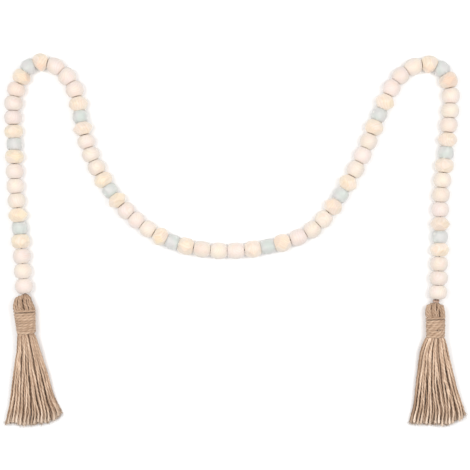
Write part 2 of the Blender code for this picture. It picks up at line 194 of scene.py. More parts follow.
def makeWoodFigure():
    # Wood in the grain attribute's millimetres, with the trunk's axis along z: growth rings by the
    # distance from that axis, fibres as noise drawn out along it, and pores as its highest peaks
    inputs = [("Vector", "Vector", None), ("Ring Width", "Float", 1.6)]
    group, given, result = newGroup("woodFigure", inputs, ["Rings", "Fibres", "Pores"])
    vector = given["Vector"]
    sway = noise(group, scaled(group, vector, (1, 1, 0.35)), woodGrain["swayScale"], 2)
    flat = scaled(group, vector, (1, 1, 0))
    reach = addNode(group, "VectorMath", {0: flat}, operation="LENGTH").outputs["Value"]
    swayed = calc(group, "ADD", reach, calc(group, "MULTIPLY", sway, woodGrain["sway"]))
    turn = calc(group, "FRACT", calc(group, "DIVIDE", swayed, given["Ring Width"]))
    rise, fall = (smooth(group, turn, *woodGrain[key]) for key in ("rise", "fall"))
    group.links.new(calc(group, "MULTIPLY", rise, fall), result["Rings"])
    addStreaks(group, vector, result, (
        ("Fibres", (1.7, 1.7, 0.11), 4, 0.6, 0.3, 0.72), ("Pores", (4.5, 4.5, 0.5), 1, 0.5, 0.64, 0.74)))
    return group


def makeTwineFibres():
    # Bast fibres along the twine: fine streaks drawn out along z of the grain attribute, with
    # broader bands of paler and darker stock, and specks of bark
    inputs = [("Vector", "Vector", None)]
    group, given, result = newGroup("twineFibres", inputs, ["Streaks", "Bands", "Specks"])
    addStreaks(group, given["Vector"], result, (
        ("Streaks", (5.5, 5.5, 0.45), 3, 0.65, 0.28, 0.72), ("Bands", (0.9, 0.9, 0.16), 3, 0.5, 0.3, 0.7),
        ("Specks", (3.0, 3.0, 0.8), 1, 0.5, 0.66, 0.74)))
    return group


woodFigure = makeWoodFigure()
twineFibres = makeTwineFibres()


def newMaterial(name, roughness):
    # A material, its node tree and its Principled shader
    material = bpy.data.materials.new(name)
    material.use_nodes = True
    shader = material.node_tree.nodes["Principled BSDF"]
    shader.inputs["Roughness"].default_value = roughness
    return material, material.node_tree, shader


def setInputs(shader, values):
    # Plain values for some of the shader's inputs
    for label, value in values.items():
        shader.inputs[label].default_value = value


def readAttribute(tree, name):
    # A vector stored at the mesh's points
    return addNode(tree, "Attribute", attribute_name=name).outputs["Vector"]


def layered(tree, colour, look, layers):
    # Each layer is mixed or multiplied into the colour by its mask times its share
    for mask, share, tint, blend in layers:
        amount = calc(tree, "MULTIPLY", mask, look[share], True)
        colour = mixColour(tree, amount, colour, look[tint], blend)
    return colour


def addBump(tree, shader, height, strength, distance, invert=True):
    # Fine relief by tilting the shader's normal: what is high sinks in, or stands out if not inverted
    feeds = {"Height": height, "Strength": strength, "Distance": distance}
    tree.links.new(addNode(tree, "Bump", feeds, invert=invert).outputs["Normal"], shader.inputs["Normal"])


def shaded(tree, shader, colour, channels):
    # The colour times a brightness for each of its channels goes to the shader
    bright = addNode(tree, "CombineXYZ", dict(enumerate(channels))).outputs[0]
    tree.links.new(mixColour(tree, 1.0, colour, bright, "MULTIPLY"), shader.inputs["Base Color"])


def makeWood(name, look):
    # The tone attribute holds, for each bead, how warm it is, how bright it is, and how far the surface there
    # cuts across the fibres. Warmth drifts over the trunk, a blush comes in patches, and the colour goes to a
    # duller one with how far the surface turns away from the eye, a painted rim tint for how the light falls
    # at the silhouette
    material, tree, shader = newMaterial(name, look["roughness"])
    grain = readAttribute(tree, "grain")
    feeds = {"Vector": grain, "Ring Width": look["ringWidth"]}
    figure = addNode(tree, "Group", feeds, node_tree=woodFigure).outputs
    tone = addNode(tree, "SeparateXYZ", {0: readAttribute(tree, "tone")}).outputs
    place = scaled(tree, grain, (1, 1, 0.6))
    drift = calc(tree, "MULTIPLY", calc(tree, "SUBTRACT", noise(tree, place, 0.11, 2), 0.5), look["drift"])
    colour = mixColour(tree, calc(tree, "ADD", tone["X"], drift, True), look["cool"], look["warm"])
    patches = smooth(tree, noise(tree, scaled(tree, place, (-1, 1, 1)), 0.13, 2), 0.5, 0.72)
    # facing drives the painted rim tint: a duller colour towards the silhouette, for how the light falls
    # there
    facing = addNode(tree, "LayerWeight").outputs["Facing"]
    colour = layered(tree, colour, look, (
        (patches, "blushShare", "blush", "MIX"), (tone["Z"], "endShare", "endGrain", "MIX"),
        (figure["Rings"], "ringShare", "latewood", "MULTIPLY"),
        (figure["Fibres"], "fibreShare", "latewood", "MULTIPLY"),
        (figure["Pores"], "poreShare", "pore", "MULTIPLY"), (facing, "paintedRimShare", "paintedRim", "MIX")))
    shaded(tree, shader, colour, (tone["Y"],) * 3)
    height = calc(tree, "ADD", calc(tree, "MULTIPLY", figure["Fibres"], 0.5), figure["Pores"])
    addBump(tree, shader, height, look["bump"], 0.00012)
    glossier = calc(tree, "MULTIPLY", figure["Rings"], -0.12 * look["ringShare"])
    tree.links.new(calc(tree, "ADD", glossier, look["roughness"]), shader.inputs["Roughness"])
    return material


def makeTwine(name, look):
    # The tone attribute holds each strand's shade, how deep in the twist it lies, and its fraying. How deep
    # it lies darkens it there, as painted shade in the groove between the plies. A darker shade is redder as
    # well
    material, tree, shader = newMaterial(name, look["roughness"])
    fibres = addNode(tree, "Group", {"Vector": readAttribute(tree, "grain")}, node_tree=twineFibres).outputs
    tone = addNode(tree, "SeparateXYZ", {0: readAttribute(tree, "tone")}).outputs
    colour = mixColour(tree, fibres["Bands"], look["middle"], look["pale"])
    # the depth in the twist multiplies in a painted groove shade
    colour = layered(tree, colour, look, (
        (fibres["Streaks"], "streakShare", "dark", "MIX"), (fibres["Specks"], "speckShare", "bark", "MIX"),
        (tone["Y"], "paintedGrooveShadeShare", "paintedGrooveShade", "MULTIPLY"), (tone["Z"], "frayShare", "fray", "MIX")))
    redder = [calc(tree, "POWER", tone["X"], power) for power in (1.2, 1.4)]
    shaded(tree, shader, colour, (tone["X"], *redder))
    addBump(tree, shader, fibres["Streaks"], look["bump"], 0.0002)
    setInputs(shader, {"Sheen Weight": look["sheen"], "Sheen Roughness": 0.6})
    return material


# The route and the beads' places, as in the solids

garland = {
    "order": "RRRFGF" * 12 + "RRR",  # R round, F faceted, G glass, from the left tassel
    "share": {"R": 17.0, "F": 17.0, "G": 13.0},  # the length of the route that a bead fills
    "fitGap": 0.3,  # between two other beads
    "seam": 0.5,  # between two round beads of one run
    # the turned beads' solids: radius and half length, and half the degrees that each of their twelve
    # sides spans, because they lie on a flat one
    "roundSolid": (10.15, 8.2), "glassSolid": (9.0, 6.5), "sideTurn": 15,
    "facetedHalf": (9.8, 9.8, 8.2),  # across, up and along the string
    "diamondReach": 0.68,  # of a diamond face's corners, as a share of the half sizes
    # degrees that each faceted bead is turned about the string
    "rolls": (8, 40, 22, 0, 20, 34, 60, 30, 10, 45, 22, 0, 0, 15, 60, 30, 8, 45, 26, 20, 38, 15, 60, 30),
    "lift": 0.2,  # of a faceted bead that is turned about the string
    "girthGain": 0.075,  # how much wider the wood beads of the two upright arms are
    "glassDrop": 1.8,  # of a glass bead below its neighbours' mean height
    "route": (  # bead, x, y
        (1, -241, -54), (5, -246, 12), (8, -251, 60), (11, -252, 108), (14, -253, 154), (15, -250.5, 170.5),
        (16, -243.5, 183.5), (17, -236, 196.5), (18, -222.5, 203.5), (19, -204.5, 197), (20, -191.5, 185),
        (21, -182.5, 170), (23, -177, 139), (26, -165, 96), (29, -143, 55), (32, -113, 21), (35, -72, -4),
        (38, -19, -14), (41, 37, -9), (44, 88, 10), (47, 120, 50), (50, 145, 95), (53, 164, 141),
        (56, 188, 186), (57, 202, 197), (58, 222, 200.5), (59, 235.5, 194), (60, 243.5, 180.5),
        (61, 246, 162.5), (62, 244.5, 146), (65, 240, 98), (68, 234, 50), (71, 233, 2), (75, 231, -61),
    ),
}
edges = np.concatenate([[0], np.cumsum([garland["share"][kind] for kind in garland["order"]])])


def routeAt(lengths):
    # A smooth curve through the route's beads, read at lengths along the string: between two of them
    # a cubic that keeps their slopes, and straight on past its ends
    middles = (edges[:-1] + edges[1:]) / 2
    knots = middles[[bead - 1 for bead, x, y in garland["route"]]]
    points = np.array([(x, y) for bead, x, y in garland["route"]], float)
    steps = np.diff(knots)[:, None]
    slopes = np.diff(points, axis=0) / steps
    tangents = np.empty_like(points)
    tangents[0], tangents[-1] = slopes[0], slopes[-1]
    tangents[1:-1] = (slopes[:-1] * steps[1:] + slopes[1:] * steps[:-1]) / (steps[:-1] + steps[1:])
    k = np.clip(np.searchsorted(knots, lengths) - 1, 0, len(knots) - 2)
    step = steps[k]
    away = (lengths - knots[k])[:, None] / step
    s = np.clip(away, 0, 1)
    inside = (
        (2 * s**3 - 3 * s**2 + 1) * points[k]
        + (s**3 - 2 * s**2 + s) * step * tangents[k]
        + (3 * s**2 - 2 * s**3) * points[k + 1]
        + (s**3 - s**2) * step * tangents[k + 1]
    )
    return inside + (away - s) * step * np.where(away < 0, tangents[k], tangents[k + 1])


def facetedCorners():
    # Each of a block's six faces keeps a diamond: its corners lie on the face's middle lines
    reach = garland["diamondReach"]
    corners = []
    for first in (-1, 1):
        for second in (-reach, reach):
            corners += [(first, second, 0), (first, 0, second), (second, first, 0)]
            corners += [(0, first, second), (second, 0, first), (0, second, first)]
    return np.array(corners) * garland["facetedHalf"]


def rolled(points, degrees):
    # Points turned about the string
    turn = math.radians(degrees)
    x = points[..., 0] * math.cos(turn) - points[..., 1] * math.sin(turn)
    y = points[..., 0] * math.sin(turn) + points[..., 1] * math.cos(turn)
    return np.stack([x, y, points[..., 2]], axis=-1)


def placeBeads():
    # Each bead fills its share of the route, and is bent along it so that both of its ends face the
    # way the string runs there: turn is the angle between its ends, and half is half of its length
    joints = routeAt(edges)
    chords = np.diff(joints, axis=0)
    headings = np.unwrap(np.arctan2(chords[:, 1], chords[:, 0]))
    ways = np.concatenate([headings[:1], (headings[:-1] + headings[1:]) / 2, headings[-1:]])
    under = math.cos(math.radians(garland["sideTurn"]))
    solids = {kind: np.array([(0, -under * radius, half)]) for kind, (radius, half) in (
        ("R", garland["roundSolid"]), ("G", garland["glassSolid"]))}
    solids["F"] = facetedCorners()
    rolls, order, placed = iter(garland["rolls"]), garland["order"], []
    for i, kind in enumerate(order):
        turn, middle = ways[i + 1] - ways[i], (ways[i + 1] + ways[i]) / 2
        along = np.array((math.cos(middle), math.sin(middle)))
        reach, lean = np.linalg.norm(chords[i]) / 2, headings[i] - middle
        slide = reach * math.tan(turn / 2) * math.sin(lean)
        half = reach * math.cos(lean) * math.cos(turn / 2) / np.sinc(turn / 2 / math.pi)
        pairs = order[i - 1:i + 1], order[i:i + 2]
        gap = max(garland["seam" if pair == "RR" else "fitGap"] for pair in pairs)
        roll = next(rolls) if kind == "F" else 0
        points = rolled(solids[kind], roll)
        placed.append({
            "kind": kind, "number": i + 1, "centre": (joints[i] + joints[i + 1]) / 2 + slide * along,
            "along": along, "across": np.array((-along[1], along[0])), "turn": turn, "half": half - gap / 2,
            "stretch": (half - gap / 2) / points[:, 2].max(), "roll": roll,
            "height": garland["lift"] * (roll != 0) - points[:, 1].min(),
        })
    for before, bead, after in zip(placed, placed[1:], placed[2:]):
        if bead["kind"] == "G":
            mean = (before["height"] + after["height"]) / 2
            bead["height"] = max(bead["height"], mean - garland["glassDrop"])
    return placed


def toWorld(points, bead):
    # From a bead's own axes (across, up, along) to the world. Its middle line is bent to an arc, and
    # it stays square to the arc
    along = points[..., 2:]
    angle = along * bead["turn"] / 2 / bead["half"]
    arc = along * np.sinc(angle / math.pi) * bead["along"]
    arc = arc + along * np.sinc(angle / 2 / math.pi) * np.sin(angle / 2) * bead["across"]
    square = np.cos(angle) * bead["across"] - np.sin(angle) * bead["along"]
    flat = bead["centre"] + arc + points[..., :1] * square
    return np.concatenate([flat, points[..., 1:2] + bead["height"]], axis=-1)


beads = placeBeads()
print(f"route laid out, {len(beads)} beads")


# Wood beads

turnedRim = {
    "depth": 0.12, "width": 0.45,  # of the rounding between a turned bead's side and its flat end
    # the hole's mouth: distances down from the end, and how much wider than the bore it is there
    "mouth": ((0, 0.6), (0.15, 0.12), (0.7, 0)),
}
roundBead = {
    "radius": 9.85, "halfLength": 8.2, "bore": 2.4,
    "fullness": 2.3,  # the power with which the radius falls
    "endReach": 9.35,  # where it would come down to nothing, past the flat end
    "outerSteps": 17, "around": 48, "seed": 11, "widths": (0.95, 1.0),
    "clearance": 0.01,  # over the floor
    "warmth": (1.2, 1.4),  # of the beta distribution that it is drawn from
    "peach": {15: 0.6, 21: 0.2, 68: 0.2},  # beads that are warmer than the rest
    "endGrain": 0.3,  # how much of it shows where the surface cuts across the fibres
}
facetedBead = {
    "softness": (15, 21),  # the higher, the sharper the edges between two faces
    "cornerReach": 1.085,  # of the ellipsoid that rounds the corners, in half sizes
    "endCut": 0.905,  # the share of its length that its flat ends leave
    "bore": 2.3, "mouth": 0.25, "boreInset": 0.3, "outerSteps": 48, "around": 96, "seed": 23,
    "edgeFrom": 0.86,  # how close a point's second face comes to its first where an edge begins
    "edgePaleness": 0.045,  # how much paler the edges between two faces are
    "warmth": (0.0, 0.9), "faceWarmth": 0.45, "faceShade": 0.03,  # the last two: of a face against its bead
    "shorter": 0.45,  # at each end, so that a dark seam shows
    "endShare": (0.0, 0.45),  # of the end grain on most beads
    # bead: the way that its end grain faces, where it shows as peach; this is partly the wood's end grain and
    # partly painted shade of a facet turned from the light
    "endGrain": {16: (0.95, -0.2, 0.25), 18: (0.1, -0.85, 0.5), 58: (0.0, -1.0, 0.15), 60: (0.2, 0.1, 1.0)},
    "peachShare": 0.9,
}
glassBead = {
    "radius": 8.9, "halfLength": 6.5, "bore": 2.4, "fullness": 2.5, "endReach": 8.5,
    "longer": 0.66,  # at each end, so that the glass reaches nearly to its neighbours
    "outerSteps": 15, "around": 48,
}
trunk = {
    "pith": ((9, 30), (-6, 6), (-400, 400)),  # where a bead may lie from the trunk's middle
    "brightness": (0.97, 1.02),
}


def ringsOf(radius, along, turn):
    # Circles about the hole, from columns of radius and place along it
    return np.stack([radius * np.cos(turn), radius * np.sin(turn), along + 0 * turn], axis=-1)


def turnedGrid(size, stretch):
    # A turned bead's side is a superellipse: shares of its radius and of its reach along the hole,
    # each to the power of its fullness, add up to one. The ends are flat with a rounded rim, and the
    # profile runs back through the bore
    half = size["halfLength"] * stretch
    share = np.linspace(-1, 1, size["outerSteps"])
    along = (half - turnedRim["depth"]) * np.sin(share * math.pi / 2)
    fallen = (np.abs(along) / (size["endReach"] * stretch)) ** size["fullness"]
    radius = size["radius"] * (1 - fallen) ** (1 / size["fullness"])
    down, wider = (np.array(column) for column in zip(*turnedRim["mouth"]))
    endAlong = np.concatenate([[half], half - down])
    endRadius = np.concatenate([[radius[-1] - turnedRim["width"]], size["bore"] + wider])
    profileAlong = np.concatenate([along, endAlong, [0], -endAlong[::-1]])
    profileRadius = np.concatenate([radius, endRadius, [size["bore"]], endRadius[::-1]])
    return ringsOf(profileRadius[:, None], profileAlong[:, None], circle(size["around"]))


def facetedGrid(size, stretch, softness):
    # A faceted bead: in each direction its radius is one over the power mean of how far that
    # direction reaches towards each of its fourteen faces and towards a rounding ellipsoid, which
    # softens edges and corners. Its length is then stretched and cut off, for flat ends. A point lies
    # near an edge where its second face is nearly as close as its first
    half = np.array(garland["facetedHalf"]) * (1, 1, stretch)
    mouth = math.atan2(size["bore"] + size["mouth"], half[2])
    tilt = np.linspace(math.pi - mouth, mouth, size["outerSteps"])[:, None]
    turn = circle(size["around"])
    ways = ringsOf(np.sin(tilt), np.cos(tilt), turn)
    signs = np.array([(a, b, c) for a in (-1, 1) for b in (-1, 1) for c in (-1, 1)])
    faces = np.concatenate([np.eye(3), -np.eye(3), signs / (1 + garland["diamondReach"])]) / half
    towards = np.maximum(np.einsum("fk,ijk->fij", faces, ways), 0)
    nearest = towards.argmax(axis=0)
    towards = np.sort(towards, axis=0)
    rounding = np.linalg.norm(ways / half, axis=-1) / size["cornerReach"]
    mean = (towards**softness).sum(axis=0) + rounding**softness
    outer = ways / mean[..., None] ** (1 / softness)
    outer[..., 2] = np.clip(outer[..., 2] / size["endCut"], -half[2], half[2])
    edge = np.clip((towards[-2] / towards[-1] - size["edgeFrom"]) / (1 - size["edgeFrom"]), 0, 1) ** 2
    end = outer[-1, :, 2].max() - size["boreInset"]
    along = np.array([[end], [0], [-end]])
    grid = np.concatenate([outer, ringsOf(np.full_like(along, size["bore"]), along, turn)])
    inner = np.zeros((len(along), len(turn)), int)
    return grid, np.concatenate([edge, inner]), np.concatenate([nearest, inner])


def gridNormals(grid):
    # Square to the steps between each point's neighbours on a grid of closed rings
    down, across = (np.roll(grid, -1, axis=k) - np.roll(grid, 1, axis=k) for k in (0, 1))
    return unit(np.cross(across, down))


def trunkTurn(axis, spin):
    # Three directions at right angles, in columns: the last along the trunk, the others turned about it
    axis = unit(np.array(axis, float))
    side = unit(np.cross(axis, (0.31, 0.87, -0.38)))
    front = np.cross(axis, side)
    c, s = math.cos(spin), math.sin(spin)
    return np.column_stack([c * side + s * front, c * front - s * side, axis])


def woodAttributes(grid, turn, rng, warmth, brightness):
    # grain is the place in the trunk, and tone is warmth, brightness and how far the surface faces
    # along the fibres
    pith = np.array([rng.uniform(*ends) for ends in trunk["pith"]])
    crossing = np.clip(gridNormals(grid) @ turn[:, 2], 0, 1)
    tone = np.stack([warmth + 0 * crossing, brightness + 0 * crossing, crossing], axis=-1)
    return {"grain": grid @ turn + pith, "tone": tone}


paleWood = makeWood("paleWood", {
    "cool": (0.875, 0.75, 0.71), "warm": (0.885, 0.79, 0.655), "drift": 2.2, "blush": (0.88, 0.69, 0.60),
    "blushShare": 0.55, "endGrain": (0.88, 0.665, 0.53), "endShare": 0.75,
    "latewood": (0.88, 0.78, 0.70), "pore": (0.70, 0.56, 0.47), "ringWidth": 1.9, "ringShare": 0.32,
    "fibreShare": 0.2, "poreShare": 0.25, "roughness": 0.5, "bump": 0.25,
    # the rim colour is a painted tint at the silhouette, for how the light falls there
    "paintedRim": (0.84, 0.83, 0.80), "paintedRimShare": 0.7,
})
creamWood = makeWood("creamWood", {
    "cool": (0.87, 0.74, 0.65), "warm": (0.875, 0.74, 0.535), "drift": 1.6, "blush": (0.88, 0.67, 0.53),
    "blushShare": 0.45, "endGrain": (0.88, 0.61, 0.45), "endShare": 0.9,
    "latewood": (0.90, 0.78, 0.64), "pore": (0.70, 0.54, 0.42), "ringWidth": 2.3, "ringShare": 0.4,
    "fibreShare": 0.22, "poreShare": 0.25, "roughness": 0.46, "bump": 0.25,
    # the rim colour is a painted tint at the silhouette, for how the light falls there
    "paintedRim": (0.92, 0.89, 0.82), "paintedRimShare": 0.7,
})


def girth(bead):
    # One plus the gain times the square of how far the bead's width lies across the picture
    return 1 + garland["girthGain"] * bead["across"][0] ** 2


def addRoundBeads():
    # Each run of round beads is one piece, made when the next bead isn't round. A bead has its own
    # width, trunk, warmth and brightness, and its end grain shows by the cube of how far it crosses
    rng = np.random.default_rng(roundBead["seed"])
    run, count = [], 0
    for bead in beads + [None]:
        if bead and bead["kind"] == "R":
            wide = rng.uniform(*roundBead["widths"]) * girth(bead)
            grid = turnedGrid(roundBead, bead["stretch"]) * (wide, wide, 1)
            grid[..., 1] -= grid[..., 1].min() + bead["height"] - roundBead["clearance"]
            turn = trunkTurn(rng.normal(size=3), rng.uniform(0, 2 * math.pi))
            warmth, brightness = rng.beta(*roundBead["warmth"]), rng.uniform(*trunk["brightness"])
            values = woodAttributes(grid, turn, rng, warmth, brightness)
            crossing = values["tone"][..., 2]
            crossing[:] = crossing**3 * roundBead["endGrain"] + roundBead["peach"].get(bead["number"], 0)
            run.append((toWorld(grid, bead), values))
        elif run:
            count += 1
            name = f"roundBeads{count:02d}"
            grids, values = zip(*run)
            attributes = {label: np.stack([value[label] for value in values]) for label in values[0]}
            mesh = ringMesh(name, np.stack(grids), attributes)
            addPiece(name, mesh, paleWood, [f"round_run_{count:02d}"])
            run = []


def addFacetedBeads():
    # Each faceted bead is one piece, turned about the string as in the solids and let down to the floor. Its
    # faces differ a little in warmth and shade, and its edges are paler
    rng = np.random.default_rng(facetedBead["seed"])
    faceted = [bead for bead in beads if bead["kind"] == "F"]
    for count, bead in enumerate(faceted, 1):
        shorter = bead["stretch"] - facetedBead["shorter"] / garland["facetedHalf"][2]
        grid, edge, face = facetedGrid(facetedBead, shorter, rng.uniform(*facetedBead["softness"]))
        axis = rng.normal(size=3) * (1, 0.4, 1)
        share, warmth = rng.uniform(*facetedBead["endShare"]), rng.uniform(*facetedBead["warmth"])
        # on these beads the end grain is aimed at one facet, so its peach is partly painted shade
        if bead["number"] in facetedBead["endGrain"]:
            way = np.array(facetedBead["endGrain"][bead["number"]])
            onString = np.array((way[:2] @ bead["across"], way[2], way[:2] @ bead["along"]))
            axis, share = rolled(onString, -bead["roll"]), facetedBead["peachShare"]
        warmth = np.clip(warmth + facetedBead["faceWarmth"] * rng.uniform(-1, 1, 14)[face], 0, 1)
        shade = 1 + facetedBead["faceShade"] * rng.uniform(-1, 1, 14)[face]
        turn = trunkTurn(axis, rng.uniform(0, 2 * math.pi))
        bright = rng.uniform(*trunk["brightness"]) * shade * (1 + facetedBead["edgePaleness"] * edge)
        values = woodAttributes(grid, turn, rng, warmth, bright)
        values["tone"][..., 2] = values["tone"][..., 2] ** 2 * share
        placed = toWorld(rolled(grid, bead["roll"]) * (girth(bead), girth(bead), 1), bead)
        placed[..., 2] -= placed[..., 2].min()
        name = f"facetedBead{count:02d}"
        mesh = ringMesh(name, placed[None], {label: value[None] for label, value in values.items()})
        addPiece(name, mesh, creamWood, [f"faceted_{count:02d}"])


addRoundBeads()
addFacetedBeads()
print("wood beads made")


# Glass beads

seaGlassLook = {
    # the rim colour is a painted highlight at the silhouette
    "colour": (0.765, 0.82, 0.77), "clear": (0.85, 0.83, 0.815), "paintedRim": (1.0, 0.985, 0.955), "paintedRimShare": 1.0,
    "transmission": 0.3, "roughness": 0.45, "milky": 1.0, "reach": 0.006,  # metres that light spreads inside
}


def makeSeaGlass(look):
    # Tumbled glass: a frosted skin with fine pits, a slight drift of colour, and a pale rim painted into the
    # colour as a highlight, for the skin's scattered light at the silhouette
    material, tree, shader = newMaterial("seaGlass", look["roughness"])
    place = addNode(tree, "TexCoord").outputs["Object"]
    clear = smooth(tree, noise(tree, place, 70.0, 2), 0.35, 0.65)
    colour = mixColour(tree, clear, look["colour"], look["clear"])
    # the mask of the painted rim highlight
    paintedRim = calc(tree, "POWER", addNode(tree, "LayerWeight").outputs["Facing"], 1.4)
    colour = layered(tree, colour, look, ((paintedRim, "paintedRimShare", "paintedRim", "MIX"),))
    tree.links.new(colour, shader.inputs["Base Color"])
    addBump(tree, shader, noise(tree, place, 2600.0, 3, 0.6), 0.3, 0.0001, False)
    setInputs(shader, {
        "Transmission Weight": look["transmission"], "IOR": 1.45, "Subsurface Weight": look["milky"],
        "Subsurface Radius": (1, 1, 1), "Subsurface Scale": look["reach"],
    })
    return material


def addGlassBeads():
    # Each glass bead is one piece, lifted where it would dip under the floor
    material = makeSeaGlass(seaGlassLook)
    for count, bead in enumerate([bead for bead in beads if bead["kind"] == "G"], 1):
        name = f"glassBead{count:02d}"
        longer = bead["stretch"] + glassBead["longer"] / glassBead["halfLength"]
        grid = toWorld(turnedGrid(glassBead, longer), bead)
        grid[..., 2] -= min(grid[..., 2].min(), 0)
        addPiece(name, ringMesh(name, grid[None], {}), material, [f"glass_{count:02d}"])


addGlassBeads()
print("glass beads made")


# Twine

grainPlaces = (-300, 300)  # where a strand may lie in the stock that its fibres are drawn from
hair = {"steps": 5, "shade": (0.95, 1.15), "thinning": 0.75}  # the share of its radius lost at its tip


def alongPath(path):
    # Arc length at each point of paths of shape (paths, steps, 3)
    steps = np.linalg.norm(np.diff(path, axis=1), axis=-1)
    return np.concatenate([np.zeros((len(path), 1)), np.cumsum(steps, axis=1)], axis=1)


def carried(path, side, up, reach, around, flat=(1, 1)):
    # A section carried along each path, in the plane of side and up: reach is its radius at each of
    # the angles around, and flat its width and height
    wide = flat[0] * np.cos(around)[:, None] * side[:, :, None]
    tall = flat[1] * np.sin(around)[:, None] * up[:, :, None]
    return path[:, :, None] + reach[..., None] * (wide + tall)


def sweep(path, outward, radius, size, rng, shade, fray=0.0, flat=(1, 1)):
    # Two plies laid round each other and carried along each path: the section is the outline of two
    # circles pushed into each other, and it turns once in each lay length. outward is any direction
    # near the section's own up. The grain attribute is the place in the twine pulled out straight
    count, steps = path.shape[:2]
    along = unit(np.gradient(path, axis=1))
    up = unit(outward - (outward * along).sum(-1, keepdims=True) * along)
    length = alongPath(path)
    around = circle(size["sides"])
    start = rng.uniform(0, 2 * math.pi, (count, 1))
    twist = (start + size["hand"] * 2 * math.pi * length / size["lay"])[..., None]
    ply, apart = around - twist, size["apart"]
    section = (apart * np.abs(np.cos(ply)) + np.sqrt(1 - (apart * np.sin(ply)) ** 2)) / (1 + apart)
    reach = section * radius[..., None]
    skin = carried(path, np.cross(along, up), up, reach, around, flat)
    follow = around - 0.6 * twist
    away = rng.uniform(*grainPlaces, (count, 3))
    places = reach * np.cos(follow), reach * np.sin(follow), length[..., None] + 0 * reach
    # how deep a point lies in the groove between the plies, where the twine is painted darker as shade
    grooveShadeDepth = ((1 - section) / (1 - section.min())) ** 1.5
    slow, phase = rng.uniform(2.5, 9.0, (count, 1)), rng.uniform(0, 6, (count, 1))
    drift = 1 + size["drift"] * np.sin(length / slow + phase)
    shades = rng.uniform(*shade, (count, 1, 1)) * drift[..., None] + 0 * reach
    frayed = np.broadcast_to(np.asarray(fray, float), (count, steps))[..., None] + 0 * reach
    grain = np.stack(places, axis=-1) + away[:, None, None]
    return skin, {"grain": grain, "tone": np.stack([shades, grooveShadeDepth, frayed], axis=-1)}


def hairs(roots, ways, lengths, bends, thickness, rng, fray):
    # Fine fibres: a three-sided thread that leaves its root in one direction and bends off with the
    # square of the distance, thinning towards its tip
    count = len(roots)
    out = np.linspace(0, 1, hair["steps"])[None, :, None]
    path = roots[:, None] + ways[:, None] * lengths[:, None, None] * out + bends[:, None] * out**2
    along = unit(np.gradient(path, axis=1))
    up = unit(np.cross(along, rng.normal(size=(count, 1, 3))))
    around = circle(3)
    radius = thickness[:, None] * (1 - hair["thinning"] * out[..., 0])
    skin = carried(path, np.cross(along, up), up, radius[..., None] + 0 * around, around)
    grain = skin + rng.uniform(*grainPlaces, (count, 1, 1, 3))
    shades = rng.uniform(*hair["shade"], (count, 1, 1)) + np.zeros(skin.shape[:3])
    return skin, {"grain": grain, "tone": np.stack([shades, 0 * shades, fray + 0 * shades], axis=-1)}


jute = makeTwine("jute", {
    "pale": (0.90, 0.68, 0.50), "middle": (0.66, 0.455, 0.305),
    "dark": (0.38, 0.23, 0.145), "streakShare": 0.42,
    # the groove colour is painted shade between the plies
    "bark": (0.22, 0.12, 0.07), "speckShare": 0.4, "paintedGrooveShade": (0.45, 0.33, 0.26), "paintedGrooveShadeShare": 0.7,
    "fray": (0.80, 0.65, 0.52), "frayShare": 0.7, "roughness": 0.85, "bump": 0.5, "sheen": 0.15,
})
cordage = makeTwine("cordage", {
    "pale": (0.70, 0.50, 0.39), "middle": (0.52, 0.35, 0.26),
    "dark": (0.28, 0.17, 0.11), "streakShare": 0.45,
    # the groove colour is painted shade between the plies
    "bark": (0.16, 0.09, 0.06), "speckShare": 0.3, "paintedGrooveShade": (0.4, 0.3, 0.25), "paintedGrooveShadeShare": 0.8,
    "fray": (0.60, 0.46, 0.36), "frayShare": 0.6, "roughness": 0.8, "bump": 0.4, "sheen": 0.1,
})


# The string and its knot

string = {
    # lay is the length of one turn, and apart how far the two plies' middles lie from the twine's, as
    # a share of a ply's radius
    "twine": {"radius": 0.9, "lay": 4.5, "apart": 0.72, "hand": 1, "sides": 10, "drift": 0.05},
    "shade": (0.9, 1.08), "stepsPerBead": 12, "soften": 9, "seed": 5,
    "leftEnd": [(-240.6, -67.0, 10.0)], "rightEnd": [(228.7, -71.2, 10.0), (228.6, -76.0, 10.0)],
    "strays": 9,  # loose fibres where the string shows in an arch
    "strayBeads": (57, 56, 18, 19), "strayLength": (6, 13), "strayRadius": 0.09, "strayBend": 2.2,
}
knot = {
    "centre": (228.7, -71.2, 10.0), "halfWidth": 3.1, "halfHeight": 2.6, "turns": 2.5, "pitch": 1.55,
    "smile": 0.8,  # how far the loops' fronts sag
    "radius": 0.85, "shade": (1.1, 1.15), "stepsPerTurn": 48,
}


def stringPath(joints):
    # Through the middles of the seams between the beads and into both hanks, with its bends softened
    # by a running mean, which leaves the points at the two ends where they are
    places = np.concatenate([string["leftEnd"], joints, string["rightEnd"]])
    count = (len(places) - 1) * string["stepsPerBead"] + 1
    knots, wanted = np.arange(len(places)), np.linspace(0, len(places) - 1, count)
    path = np.stack([np.interp(wanted, knots, places[:, axis]) for axis in range(3)], axis=1)
    window = np.hanning(string["soften"]) / np.hanning(string["soften"]).sum()
    kept = string["soften"] // 2
    soft = np.stack([np.convolve(path[:, axis], window, "valid") for axis in range(3)], axis=1)
    return np.concatenate([path[:kept], soft, path[-kept:]])[None]


def stringStrays(joints, rng):
    # Loose fibres that stand off the string towards the outside of the arches and upwards
    roots, ways, bends = [], [], []
    for number in string["strayBeads"]:
        across = beads[number - 1]["across"]
        for k in range(string["strays"]):
            roots.append(joints[number] + rng.normal(0, 0.5, 3))
            lean = rng.normal(0, 0.5, 3)
            ways.append((across[0] + lean[0], across[1] + lean[1], 0.5 * lean[2] + 0.25))
            bends.append(rng.normal(0, string["strayBend"], 3) * (1, 1, 0.5))
    count = len(roots)
    lengths, thickness = rng.uniform(*string["strayLength"], count), np.full(count, string["strayRadius"])
    return hairs(np.array(roots), unit(np.array(ways)), lengths, np.array(bends), thickness, rng, 0.2)


